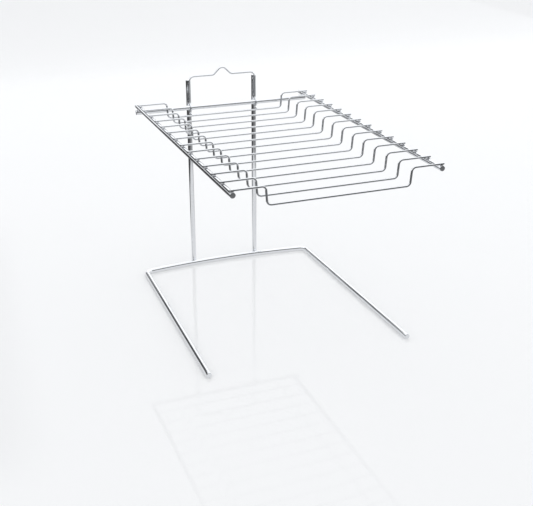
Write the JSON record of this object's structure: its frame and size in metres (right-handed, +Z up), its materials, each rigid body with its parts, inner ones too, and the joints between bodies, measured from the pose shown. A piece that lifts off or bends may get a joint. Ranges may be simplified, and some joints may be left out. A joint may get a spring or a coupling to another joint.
{
  "type": "fold-down wire drying rack",
  "caption": "Chrome wire rack: a trough-shaped tray of cross wires hinged on a two-post stand with an open U floor frame and a humped loop for hanging on a wall hook.",
  "frame": {"origin": "centre of the whole rack's footprint, on the surface that it stands on", "axes": "+Z up; the tray reaches out towards -Y and the uprights stand at the +Y end; +X to the right, seen from the front with the tray towards the viewer's side, along the cross wires"},
  "size_m": [0.328, 0.4828, 0.3563],
  "materials": {
    "rod_chrome": "bright chrome plate on round steel rod",
    "wire_chrome": "bright chrome plate on drawn steel wire"
  },
  "bodies": {
    "stand": {"base_frame": "rod_chrome", "upright_left": "rod_chrome", "upright_right": "rod_chrome", "hanger_loop": "wire_chrome"},
    "tray": {"pivot_rod": "rod_chrome", "side_rail_left": "rod_chrome", "side_rail_right": "rod_chrome", "cross_wire_01": "wire_chrome", "cross_wire_02": "wire_chrome", "cross_wire_03": "wire_chrome", "cross_wire_04": "wire_chrome", "cross_wire_05": "wire_chrome", "cross_wire_06": "wire_chrome", "cross_wire_07": "wire_chrome", "cross_wire_08": "wire_chrome", "cross_wire_09": "wire_chrome", "cross_wire_10": "wire_chrome", "cross_wire_11": "wire_chrome", "cross_wire_12": "wire_chrome", "cross_wire_13": "wire_chrome", "cross_wire_14": "wire_chrome"}
  },
  "joints": [
    {"name": "tray_fold", "type": "hinge", "parent": "stand", "child": "tray", "pos_m": [0, 0.22905, 0.2912], "axis": [-1, 0, 0], "range_deg": [0, 90]}
  ]
}
